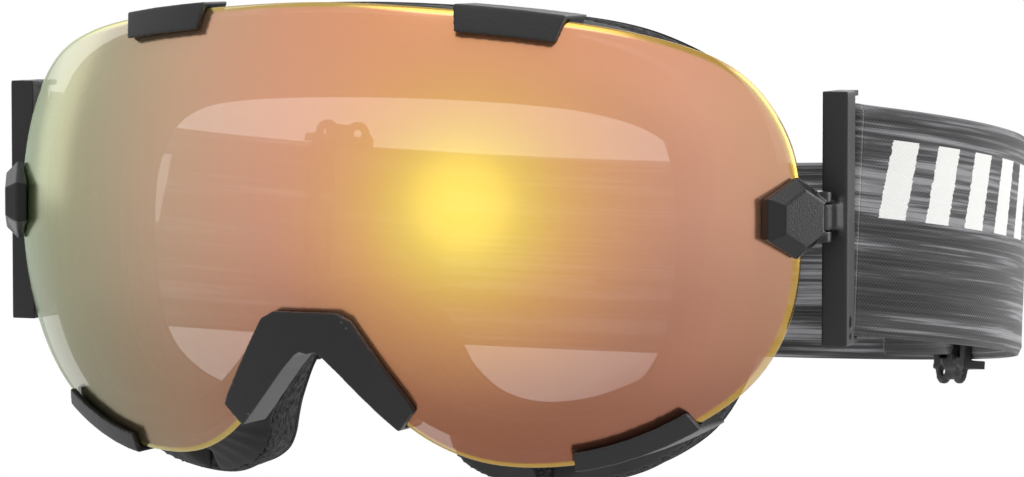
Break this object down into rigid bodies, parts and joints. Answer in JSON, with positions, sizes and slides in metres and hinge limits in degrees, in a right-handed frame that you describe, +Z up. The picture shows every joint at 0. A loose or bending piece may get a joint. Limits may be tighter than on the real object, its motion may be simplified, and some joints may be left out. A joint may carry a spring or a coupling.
{
  "type": "ski goggles",
  "caption": "Ski goggles with a one-piece mirrored double lens on a foam-lined frame, swinging side outriggers and an adjustable elastic strap.",
  "frame": {"origin": "middle of the face seat, where the fleece's rear face crosses the plane of symmetry at lens height", "axes": "+X to the right as seen from the front, +Y from the lens towards the wearer's face, +Z up"},
  "size_m": [0.2306, 0.247, 0.1035],
  "materials": {
    "mirror_lens": "mirror-coated polycarbonate",
    "gasket_foam": "closed-cell foam",
    "inner_lens": "clear anti-fog cellulose sheet",
    "carrier_plastic": "moulded, matt",
    "frame_rubber": "soft moulded urethane, semi-gloss",
    "clip_plastic": "moulded, fine matt grain",
    "vent_foam": "open-cell foam",
    "firm_foam": "open-cell foam, firm",
    "soft_foam": "open-cell foam, soft",
    "fleece": "short-pile fleece",
    "outrigger_plastic": "moulded nylon, satin",
    "steel": "turned, satin",
    "strap_webbing": "woven elastic webbing, heather",
    "silicone": "printed silicone",
    "slider_plastic": "moulded acetal, satin"
  },
  "bodies": {
    "root": {"outer_lens": "mirror_lens", "lens_gasket": "gasket_foam", "inner_lens": "inner_lens", "lens_carrier": "carrier_plastic", "frame": "frame_rubber", "nose_clip": "clip_plastic", "top_left_clip": "clip_plastic", "top_right_clip": "clip_plastic", "bottom_left_clip": "clip_plastic", "bottom_right_clip": "clip_plastic", "top_vent_foam": "vent_foam", "bottom_vent_foam": "vent_foam", "firm_foam": "firm_foam", "soft_foam": "soft_foam", "face_fleece": "fleece", "left_hub": "outrigger_plastic", "right_hub": "outrigger_plastic", "left_hub_screw": "steel", "right_hub_screw": "steel", "left_hinge_pin": "steel", "right_hinge_pin": "steel", "strap": "strap_webbing", "grip_strips": "silicone"},
    "left_arm": {"left_outrigger": "outrigger_plastic", "left_strap_bar": "steel", "left_strap_end": "strap_webbing"},
    "left_adjuster": {"left_slider": "slider_plastic", "left_slider_loop": "strap_webbing"},
    "right_arm": {"right_outrigger": "outrigger_plastic", "right_strap_bar": "steel", "right_strap_end": "strap_webbing"},
    "right_adjuster": {"right_slider": "slider_plastic", "right_slider_loop": "strap_webbing"}
  },
  "joints": [
    {"name": "left_outrigger_swing", "type": "hinge", "parent": "root", "child": "left_arm", "pos_m": [-0.0936, 0.0076, 0.001], "axis": [0, 0, 1], "range_deg": [-15, 25]},
    {"name": "left_slider_travel", "type": "hinge", "parent": "root", "child": "left_adjuster", "pos_m": [0, 0.0805, -0.00795], "axis": [0, -0.1279, -0.9918], "range_deg": [-30, 18]},
    {"name": "right_outrigger_swing", "type": "hinge", "parent": "root", "child": "right_arm", "pos_m": [0.0936, 0.0076, 0.001], "axis": [0, 0, -1], "range_deg": [-15, 25]},
    {"name": "right_slider_travel", "type": "hinge", "parent": "root", "child": "right_adjuster", "pos_m": [0, 0.0805, -0.00795], "axis": [0, 0.1279, 0.9918], "range_deg": [-30, 18]}
  ]
}
